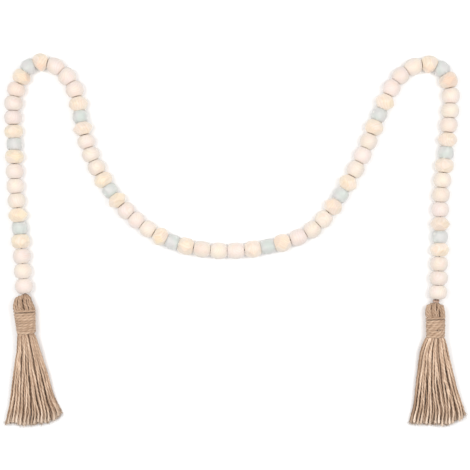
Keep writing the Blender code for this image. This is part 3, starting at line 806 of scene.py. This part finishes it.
def addString():
    # One piece: the string, as a twine of two plies through every bead, and its loose fibres
    rng = np.random.default_rng(string["seed"])
    ends = [toWorld(np.array([(0, 0, -bead["half"]), (0, 0, bead["half"])]), bead) for bead in beads]
    seams = [(first[1] + second[0]) / 2 for first, second in zip(ends, ends[1:])]
    joints = np.array([ends[0][0], *seams, ends[-1][1]])
    path = stringPath(joints)
    radius = np.full(path.shape[:2], string["twine"]["radius"])
    main = sweep(path, np.array((0, 0, 1.0)), radius, string["twine"], rng, string["shade"])
    mesh = tubeMesh("stringOfBeads", main, stringStrays(joints, rng))
    addPiece("stringOfBeads", mesh, cordage, ["string"])


def helix(turns, stepsPerTurn):
    # Turns counted from a helix's start, its angle at each about the y axis, from straight down, and
    # the direction outwards there
    turn = np.linspace(0, turns, int(turns * stepsPerTurn) + 1)
    angle = -math.pi / 2 + turn * 2 * math.pi
    return turn, angle, np.stack([np.cos(angle), 0 * angle, np.sin(angle)], axis=-1)[None]


def addKnot():
    # The string's end tied round the hank's fold: a short helix about the y axis, from underneath to
    # the front, whose turns sag in front
    rng = np.random.default_rng(string["seed"] + 1)
    turn, angle, outward = helix(knot["turns"], knot["stepsPerTurn"])
    x = knot["halfWidth"] * np.cos(angle)
    y = -knot["pitch"] * (turn - knot["turns"] / 2) / 2 - knot["smile"] * (np.sin(angle) - 0.4)
    z = knot["halfHeight"] * np.sin(angle)
    loop = np.array(knot["centre"]) + np.stack([x, y, z], axis=-1)
    radius = np.full((1, len(loop)), knot["radius"])
    tube = sweep(loop[None], outward, radius, string["twine"], rng, knot["shade"])
    addPiece("rightKnot", tubeMesh("rightKnot", tube), cordage, ["right_knot"])


addString()
addKnot()
print("string and knot made")


# Tassels

twine = {"radius": 1.4, "lay": 8.5, "apart": 0.45, "hand": 1, "sides": 12, "drift": 0.05}
strand = dict(twine, lay=10.0, apart=0.32, drift=0.15, sides=10)
wound = dict(twine, lay=12.0, apart=0.28)
tassels = (
    {
        "name": "left", "seed": 71,
        "wrapY": (-81, -107.8), "neckX": (-240.6, -238.4), "halfWidth": (13.1, 11.2), "turns": 9,
        "headEdges": (  # y, left, right
            (-62.4, -243.4, -235.6), (-65.0, -247.0, -233.6), (-67.0, -249.8, -233.0),
            (-69.9, -252.3, -231.9), (-74.4, -253.3, -230.4), (-79.0, -253.6, -228.4),
            (-81.0, -253.5, -227.7),
        ),
        "partings": (  # x, y, half width, half height of the gaps between loops
            (-241.4, -69.3, 1.1, 3.6), (-240.6, -78.0, 1.1, 2.4), (-237.6, -70.5, 0.5, 2.0),
            (-247.0, -75.0, 0.45, 2.5),
        ),
        "leftEdge": (  # y, x of the skirt's outline
            (-107.8, -249.0), (-121.2, -249.9), (-129.2, -250.6), (-138.3, -252.6), (-152.0, -254.7),
            (-165.6, -256.5), (-177.0, -257.7), (-188.4, -259.5), (-197.6, -261.6), (-206.7, -263.8),
            (-214.0, -264.8),
        ),
        "rightEdge": (
            (-107.8, -228.0), (-115.5, -225.0), (-121.2, -223.4), (-129.2, -220.7), (-142.8, -216.5),
            (-156.5, -212.3), (-170.2, -208.9), (-182.7, -205.1), (-188.4, -202.8), (-193.0, -200.6),
            (-200.0, -197.8),
        ),
        "tips": (  # share of the width, y
            (0, -210.4), (0.12, -209.6), (0.26, -212.0), (0.6, -211.4), (0.8, -208.6), (0.93, -203.8),
            (1, -197.8),
        ),
        "slips": (),
        # after tangle: painted shading near the neck, darker below 0 and paler above, and a painted shade for
        # the rows under the top one
        "tangle": 0.9, "paintedNeckShading": -0.12, "paintedUnderShade": 1.06,
        "bow": 1.1,  # how far the binding's fronts sag by its last turn
    },
    {
        "name": "right", "seed": 72,
        "wrapY": (-89, -112.5), "neckX": (228.1, 228.1), "halfWidth": (11.6, 11.0), "turns": 8,
        "headEdges": (
            (-72.4, 223.0, 234.6), (-73.9, 219.4, 235.6), (-77.9, 217.1, 238.0), (-82.4, 216.4, 239.5),
            (-87.0, 216.3, 239.6), (-89.0, 216.5, 239.7),
        ),
        "partings": (
            (228.1, -77.5, 0.9, 3.6), (229.9, -83.2, 0.6, 2.4), (230.4, -88.0, 0.6, 1.4),
            (233.4, -81.8, 0.4, 1.6),
        ),
        "leftEdge": (
            (-112.5, 217.2), (-115.5, 215.4), (-121.2, 212.7), (-129.2, 210.0), (-138.3, 208.5),
            (-149.7, 207.3), (-161.1, 205.9), (-174.8, 204.9), (-183.9, 203.9), (-190.7, 203.2),
            (-195.3, 202.4), (-202.1, 200.5), (-212.0, 198.4),
        ),
        "rightEdge": (
            (-112.5, 238.9), (-116.6, 240.8), (-122.3, 242.6), (-133.7, 245.4), (-142.8, 248.0),
            (-152.0, 250.2), (-161.1, 252.4), (-172.5, 255.2), (-183.9, 258.8), (-193.0, 262.2),
            (-200.0, 263.8),
        ),
        "tips": (
            (0, -210.2), (0.1, -210.6), (0.3, -211.4), (0.5, -210.8), (0.62, -212.6), (0.72, -210.8),
            (0.85, -207.4), (0.95, -204.6), (1, -201.6),
        ),
        # turn from the top, half width in turns, shift in y
        "slips": ((4.465, 0.045, 0.95), (5.465, 0.045, -1.25), (6.465, 0.1, -0.35)),
        # after tangle: painted shading near the neck, and a painted shade for the rows under the top one
        "tangle": 1.7, "paintedNeckShading": 0.07, "paintedUnderShade": 0.96, "bow": 0.7,
    },
)
hank = {"centre": 10.0, "halfHeight": 9.9}  # the height of its middle over the floor, and half its own
skirt = {
    # from the bottom row: strands, shift, share of the width, darkest and palest shade; the lower rows'
    # darker shades are painted shade and the top row's paler ones painted light
    "rows": ((30, 0.3, 1.0, 0.68, 0.88), (18, 0.5, 1.0, 0.65, 0.93), (14, 0.05, 0.98, 0.8, 1.1),
             (13, 0.5, 0.97, 0.96, 1.24)),
    "shade": (0.97, 1.03), "thickness": (0.76, 0.92),  # shares of the twine's radius
    "sink": 1.3,  # of every other strand in the neck
    "neckRound": 0.6,  # how much lower and narrower the neck's rows are at its sides
    "rowRise": 2.3, "steps": 100,
    "inside": 11.0, "squeeze": 0.74,  # how far the strands go up into the binding, and how narrow there
    "paintedLowShade": 0.73,  # painted shade of the rows below the top one, at their tips
    "jitter": 0.16,  # of a strand's place, in shares of the room that it has
    "swap": 0.045,  # how far a strand's root may lie from its tip's place, as a share of the width
    "stagger": 0.9, "wave": (0.1, 1.0), "kink": 0.22, "heave": 0.35,
    "fraysFrom": 0.86, "swellsFrom": 0.93,  # shares of a strand's length
}
looseFibres = {
    "perTip": 18, "perStrand": 9, "between": (0.05, 19.5),  # the floor and the highest strand
    # at the tips, and at the sides: lengths and radii
    "tipLength": (2.5, 6.2), "tipRadius": (0.12, 0.26), "sideLength": (2.5, 7.5), "sideRadius": (0.05, 0.1),
}
head = {
    # the inner loops' shade is painted: they lie deeper and are made darker
    "lift": 1.3, "sway": 0.5, "shade": (0.68, 0.88), "paintedInnerShade": 0.92, "steps": 80,
    "loops": 13, "innerLoops": 8, "innerInset": 3.1,
    "span": 80,  # degrees to either side that the loops are spread over
    "slope": 0.22,  # how much lower the loops are at the sides
    "thickness": (0.92, 1.04), "thinnest": 0.45,  # shares of the twine's radius; the second at the top
    "insideShare": 0.12, "dive": 4.0,  # of a loop's length inside the binding, and how deep it goes
}
binding = {
    "stepsPerTurn": 56, "ripple": 0.16, "overlap": 1.06, "flat": (1.1, 0.88), "shade": (0.88, 0.9),
    "wobble": 0.12, "wobbleSteps": 25,
    # the first turn lies a little apart and is thinner
    "firstApart": 0.6, "firstShare": 0.72, "firstTurn": 0.85,
}


def bindingAt(spec, y):
    # The neck's middle and half width, which change evenly from the binding's top to its bottom
    share = (spec["wrapY"][0] - y) / (spec["wrapY"][0] - spec["wrapY"][1])
    return [pair[0] + (pair[1] - pair[0]) * share for pair in (spec["neckX"], spec["halfWidth"])]


def edgeAt(edge, y):
    # An outline's x at heights y, in straight lines from point to point
    ys, xs = zip(*edge)
    return np.interp(-y, -np.array(ys), xs)


def addJute(spec, kind, solid, *batches):
    # One piece of a tassel, made of tubes, in place of one of its solids
    name = spec["name"] + kind
    addPiece(name, tubeMesh(name, *batches), jute, [spec["name"] + solid])


def skirtPaths(spec, rng):
    # Each strand runs through the binding, keeps its share of the width between the skirt's two
    # edges, and bends down to its row on the floor, soonest at first. In the neck every other strand
    # lies deeper than its neighbours, because there isn't room for all of them side by side
    wrapEnd, radius, rows = spec["wrapY"][1], twine["radius"], len(skirt["rows"])
    down = np.linspace(0, 1, skirt["steps"])[None, :]
    start = wrapEnd + skirt["inside"]
    tipShares, tipYs = zip(*spec["tips"])
    paths, shades = [], []
    for row, (count, shift, narrow, darkest, palest) in enumerate(skirt["rows"]):
        share = (np.arange(count) + shift) / (count - 1 + 2 * shift)
        place = np.clip(share + rng.normal(0, skirt["jitter"], count) / count, 0, 1)
        place = (0.5 + (place - 0.5) * narrow)[:, None]
        root = 2 * np.clip(share + rng.normal(0, skirt["swap"], count), 0, 1)[:, None] - 1
        height = 1.5 * (row / (rows - 1)) ** 0.7 - 0.75
        tipY = np.interp(place, tipShares, tipYs) + rng.normal(0, skirt["stagger"], (count, 1))
        y = start + (tipY - start) * down
        fan = np.clip((wrapEnd - y) / (wrapEnd - tipY), 0, 1)
        rootShare = (1 - fan) ** 1.5
        neck = math.sqrt(1 - skirt["neckRound"] * height**2)
        across = root * neck * rootShare + (2 * place - 1) * (1 - rootShare)
        left, right = edgeAt(spec["leftEdge"], y) + radius, edgeAt(spec["rightEdge"], y) - radius
        tall = spec["tangle"] * rng.uniform(*skirt["wave"], (count, 1))
        speed, phase = rng.uniform(0.8, 2.3, (count, 1)), rng.uniform(0, 2 * math.pi, (count, 1))
        swing = 2 * math.pi * speed * down
        wave = tall * np.sin(swing + phase) + skirt["kink"] * np.sin(4.1 * swing + 2 * math.pi * phase)
        wave = wave * np.sin(np.clip(fan * 1.6, 0, 1) * math.pi / 2) * (1 - 0.8 * np.abs(across) ** 4)
        x = (left + right) / 2 + across * (right - left) / 2 + wave
        neckHeight = height * (hank["halfHeight"] - 0.8) * np.sqrt(1 - skirt["neckRound"] * root**2)
        tipZ = radius + row * skirt["rowRise"] + rng.uniform(0, 0.5, (count, 1))
        heave = skirt["heave"] * np.sin(1.3 * swing + 2 * phase)
        z = tipZ + (hank["centre"] + neckHeight - tipZ) * (1 - fan) ** 2.2 + heave * fan
        z = z - skirt["sink"] * (np.arange(count)[:, None] % 2) * (1 - fan) ** 2
        inside = np.clip((y - wrapEnd + 1.5) / 4.0, 0, 1)
        squeeze = 1 - (1 - skirt["squeeze"]) * inside * inside * (3 - 2 * inside)
        middle = bindingAt(spec, np.maximum(y, wrapEnd))[0]
        x = middle + (x - middle) * squeeze
        z = hank["centre"] + (z - hank["centre"]) * squeeze
        paths.append(np.stack([x, y, np.maximum(z, radius * 0.98)], axis=-1))
        # painted shading near the neck, and painted shade on the rows under the top one, deeper towards their
        # tips
        paintedNeckShading = 1 + spec["paintedNeckShading"] * np.clip(1 - 2.5 * fan, 0, 1)
        shade = rng.uniform(darkest, palest, (count, 1)) * paintedNeckShading
        if row < rows - 1:
            shade = shade * spec["paintedUnderShade"] * (1 - (1 - skirt["paintedLowShade"]) * fan**1.5)
        shades.append(shade)
    return np.concatenate(paths), np.concatenate(shades)


def tipFibres(paths, shades, rng):
    # The frayed ends: fibres spread out of each strand's tip, on in the way that it runs there
    each = looseFibres["perTip"]
    tips, run = (np.repeat(part, each, axis=0) for part in (paths[:, -4], paths[:, -1] - paths[:, -14]))
    number = len(tips)
    offset = rng.normal(0, 0.7, (number, 3))
    offset[:, 2] = np.maximum(offset[:, 2], 0.1 - tips[:, 2])
    ways = unit(unit(run) + rng.normal(0, 0.25, (number, 3)) * (1, 1, 0.6))
    bends = rng.normal(0, 0.9, (number, 3)) * (1, 0.5, 0.5)
    lengths, thickness = (rng.uniform(*looseFibres[key], number) for key in ("tipLength", "tipRadius"))
    skin, values = hairs(tips + offset, ways, lengths, bends, thickness, rng, 0.9)
    values["tone"][..., 0] *= 0.4 + 0.6 * np.repeat(shades[:, -1], each)[:, None, None]
    return skin, values


def sideFibres(paths, shades, radius, rng):
    # Strays off the strands' sides: each stands away and follows the strand, or runs back along it
    count, steps = paths.shape[:2]
    number = count * looseFibres["perStrand"]
    which = np.repeat(np.arange(count), looseFibres["perStrand"])
    place = rng.integers(int(steps * 0.2), steps - 1, number)
    run = unit(paths[which, place + 1] - paths[which, place - 1])
    away = unit(rng.normal(size=(number, 3)) * (1, 0.2, 0.7))
    roots = paths[which, place] + away * radius[which, place][:, None] * 0.75
    ways = unit(run * rng.choice((-0.5, 1, 1), number)[:, None] + 0.42 * away)
    bends = rng.normal(0, 1.0, (number, 3)) * (1, 0.6, 0.4)
    lengths, thickness = (rng.uniform(*looseFibres[key], number) for key in ("sideLength", "sideRadius"))
    skin, values = hairs(roots, ways, lengths, bends, thickness, rng, 0.6)
    values["tone"][..., 0] *= shades[which, place][:, None, None]
    return skin, values


def addSkirt(spec):
    # Two pieces: the strands, which swell and fray at their tips, and their loose fibres
    rng = np.random.default_rng(spec["seed"])
    paths, shades = skirtPaths(spec, rng)
    count, steps = paths.shape[:2]
    down = np.linspace(0, 1, steps)
    thickness = rng.uniform(*skirt["thickness"], (count, 1))
    speed, phase = rng.uniform(20, 60, (count, 1)), rng.uniform(0, 6, (count, 1))
    radius = twine["radius"] * thickness * (1 + 0.07 * np.sin(down * speed + phase))
    firsts = skirt["swellsFrom"], skirt["fraysFrom"]
    swell, fray = (np.clip((down - first) / (1 - first), 0, 1) for first in firsts)
    radius = radius * (1 + 0.2 * swell) * np.clip(0.75 + down * 9, 0, 1)
    paths[..., 2] = np.maximum(paths[..., 2], radius)
    skin, values = sweep(paths, np.array((0, 0, 1.0)), radius, strand, rng, skirt["shade"], fray[None] ** 1.5)
    values["tone"][..., 0] *= shades[:, :, None]
    skin[..., 2] = np.maximum(skin[..., 2], 0.03)
    strays = tipFibres(paths, shades, rng), sideFibres(paths, shades, radius, rng)
    for fibre, tones in strays:
        fibre[..., 2] = np.clip(fibre[..., 2], *looseFibres["between"])
    addJute(spec, "Skirt", "_tassel", (skin, values))
    addJute(spec, "Fibres", "_tassel", *strays)


def addHead(spec):
    # The hank folded over at its top. Each loop rises out of the binding, keeps its share of the width
    # between the head's two edges, turns over the top as a boxy arch in the upright plane through it, and
    # goes down the back; an inner set of loops, painted darker as shade, fills the gaps
    rng = np.random.default_rng(spec["seed"] + 10)
    ys, lefts, rights = (np.array(column) for column in zip(*spec["headEdges"]))
    topY, baseY = ys[0], ys[-1] + head["lift"]
    through = np.linspace(-1, 1, head["steps"])[None, :]
    fromEnds, hidden = 1 - np.abs(through), head["insideShare"]
    rise = np.clip((fromEnds - hidden) / (1 - hidden), 0, 1) * math.pi / 2
    inside = np.clip(1 - fromEnds / hidden, 0, 1)
    batches = []
    for count, inset in ((head["loops"], 0.0), (head["innerLoops"], head["innerInset"])):
        spread = np.linspace(-head["span"], head["span"], count) + rng.normal(0, 1.5, count)
        lane = np.sin(np.radians(spread))[:, None]
        share = 1 - head["slope"] * lane**2 - rng.uniform(0, 0.04, (count, 1))
        reach = (topY - baseY - 0.8 - inset * 0.5) * share
        y = baseY + reach * np.sin(rise) ** 0.9 - head["dive"] * inside
        left, right = np.interp(-y, -ys, lefts), np.interp(-y, -ys, rights)
        middle, wide = (left + right) / 2, (right - left) / 2
        thick = twine["radius"] * rng.uniform(*head["thickness"], (count, 1))
        thick = thick * (head["thinnest"] + (1 - head["thinnest"]) * wide / wide.max())
        x = middle + lane * (wide - thick - inset) * (1 - 0.2 * inside)
        speed, phase = rng.uniform(2, 5, (count, 1)), rng.uniform(0, 6, (count, 1))
        x = x + head["sway"] * np.sin(rise * speed + phase) * (1 - inside)
        for atX, atY, apart, tall in spec["partings"]:
            nearest = x[np.arange(count), np.abs(y - atY).argmin(axis=1)][:, None]
            push = apart * np.exp(-((y - atY) / tall) ** 2) * np.exp(-np.abs(nearest - atX) / 2.2)
            x = x + np.sign(nearest - atX) * push * (inset == 0)
        depth = (hank["halfHeight"] - thick - inset) * np.sqrt(1 - lane**2) * (1 - 0.22 * inside)
        z = hank["centre"] + np.sign(through) * depth * np.cos(rise) ** 0.6
        path = np.stack([x, y, z + 0 * x], axis=-1)
        core = np.stack([middle, y - 4.0, hank["centre"] + 0 * x], axis=-1)
        skin, values = sweep(path, unit(path - core), thick, twine, rng, head["shade"])
        # the inner loops lie deeper, and are painted darker as shade
        if inset:
            values["tone"][..., 0] *= head["paintedInnerShade"]
        batches.append((skin, values))
    addJute(spec, "Head", "_tassel", *batches)


def addBinding(spec):
    # One twine wound round the neck as a helix, drawn tight, so that its turns lie flat against each
    # other. The first turn lies a little apart and is thinner, fronts sag more with each turn, and
    # slips push single turns apart
    rng = np.random.default_rng(spec["seed"] + 20)
    (top, bottom), turns = spec["wrapY"], spec["turns"]
    radius = (top - bottom) / turns / 2 * binding["overlap"]
    turn, angle, outward = helix(turns, binding["stepsPerTurn"])
    y = top - radius + (bottom - top + 2 * radius) * np.clip((turn - 0.4) / (turns - 0.8), 0, 1)
    y = y + binding["ripple"] * np.sin(angle * 1.37 + 1.0) * np.sin(turn * 1.9)
    first = np.exp(-((turn / binding["firstTurn"]) ** 4))
    y = y + binding["firstApart"] * first
    y = y - spec["bow"] * turn / turns * np.sin(angle)
    for at, width, shift in spec["slips"]:
        y = y + shift * np.exp(-(((turn - at) / width) ** 2))
    middle, half = bindingAt(spec, y)
    window = np.hanning(binding["wobbleSteps"])
    out = np.convolve(rng.normal(0, binding["wobble"], len(turn)), window / window.sum() * 2.5, "same")
    thick = radius * (1 - (1 - binding["firstShare"]) * first)
    x = middle + (half - thick + out) * np.cos(angle)
    z = hank["centre"] + (hank["centre"] - thick) * np.sin(angle)
    path = np.stack([x, y, np.maximum(z, thick)], axis=-1)[None]
    skin, values = sweep(path, outward, thick[None], wound, rng, binding["shade"], flat=binding["flat"])
    drift = 1 + 0.06 * np.sin(turn * 2.1 + spec["seed"]) + 0.04 * np.sin(turn * 9.7)
    values["tone"][..., 0] *= drift[None, :, None]
    skin[..., 2] = np.maximum(skin[..., 2], 0.03)
    addJute(spec, "Binding", "_wrap", (skin, values))


for spec in tassels:
    addSkirt(spec)
    addHead(spec)
    addBinding(spec)
print("tassels made")


# Floor, light and camera

studio = {
    "floorHalf": 1600, "floorColour": (0.94, 0.94, 0.94), "floorTint": (0.945, 0.945, 0.945),
    "floorGlow": 0.06, "sky": (1.0, 1.0, 1.0), "skyStrength": 0.46,
    # in metres and watts: place, aim, size, power
    "lamps": (((0.0, 0.1, 1.5), (0, 0, 0), 1.2, 5.0), ((-0.6, 0.1, 1.2), (-0.2, 0, 0), 0.5, 5.9),
              ((0.6, 0.1, 1.2), (0.2, 0, 0), 0.5, 5.9)),
    "camera": (-0.46, 4.2, 1350), "sensor": 36,
    "span": 535.8, "spanHeight": 10,  # across the picture, at the beads' middles
}


def addFloor():
    # A plain pale floor with a faint drift of colour
    half = studio["floorHalf"]
    corners = np.array([(-half, -half, 0), (half, -half, 0), (half, half, 0), (-half, half, 0)])
    mesh = bpy.data.meshes.new("floor")
    mesh.from_pydata((corners * mm).tolist(), [], [(0, 1, 2, 3)])
    floor = addObject("floor", mesh)
    material, tree, shader = newMaterial("paleFloor", 0.9)
    place = addNode(tree, "TexCoord").outputs["Object"]
    tint = smooth(tree, noise(tree, place, 3.0, 2), 0.2, 0.8)
    colour = mixColour(tree, tint, studio["floorColour"], studio["floorTint"])
    tree.links.new(colour, shader.inputs["Base Color"])
    setInputs(shader, {"Emission Color": (1, 1, 1, 1), "Emission Strength": studio["floorGlow"]})
    mesh.materials.append(material)


def addLights():
    # A white sky, and square lamps that face their aims
    world = bpy.data.worlds.new("studio")
    world.use_nodes = True
    sky = {"Color": (*studio["sky"], 1), "Strength": studio["skyStrength"]}
    setInputs(world.node_tree.nodes["Background"], sky)
    bpy.context.scene.world = world
    for number, (place, aim, size, power) in enumerate(studio["lamps"], 1):
        lamp = bpy.data.lights.new(f"softbox{number}", "AREA")
        lamp.shape, lamp.size, lamp.energy = "SQUARE", size, power
        softbox = addObject(f"softbox{number}", lamp)
        softbox.location = place
        softbox.rotation_euler = (Vector(aim) - Vector(place)).to_track_quat("-Z", "Y").to_euler()


def addCamera():
    # Straight above the garland: the focal length is to the sensor as the distance is to the span
    lens = bpy.data.cameras.new("camera")
    lens.sensor_width = studio["sensor"]
    lens.lens = studio["sensor"] * (studio["camera"][2] - studio["spanHeight"]) / studio["span"]
    camera = addObject("camera", lens)
    camera.location = Vector(studio["camera"]) * mm
    bpy.context.scene.camera = camera
    bpy.context.scene.view_settings.view_transform = "Standard"


addFloor()
addLights()
addCamera()
print("floor, light and camera set")
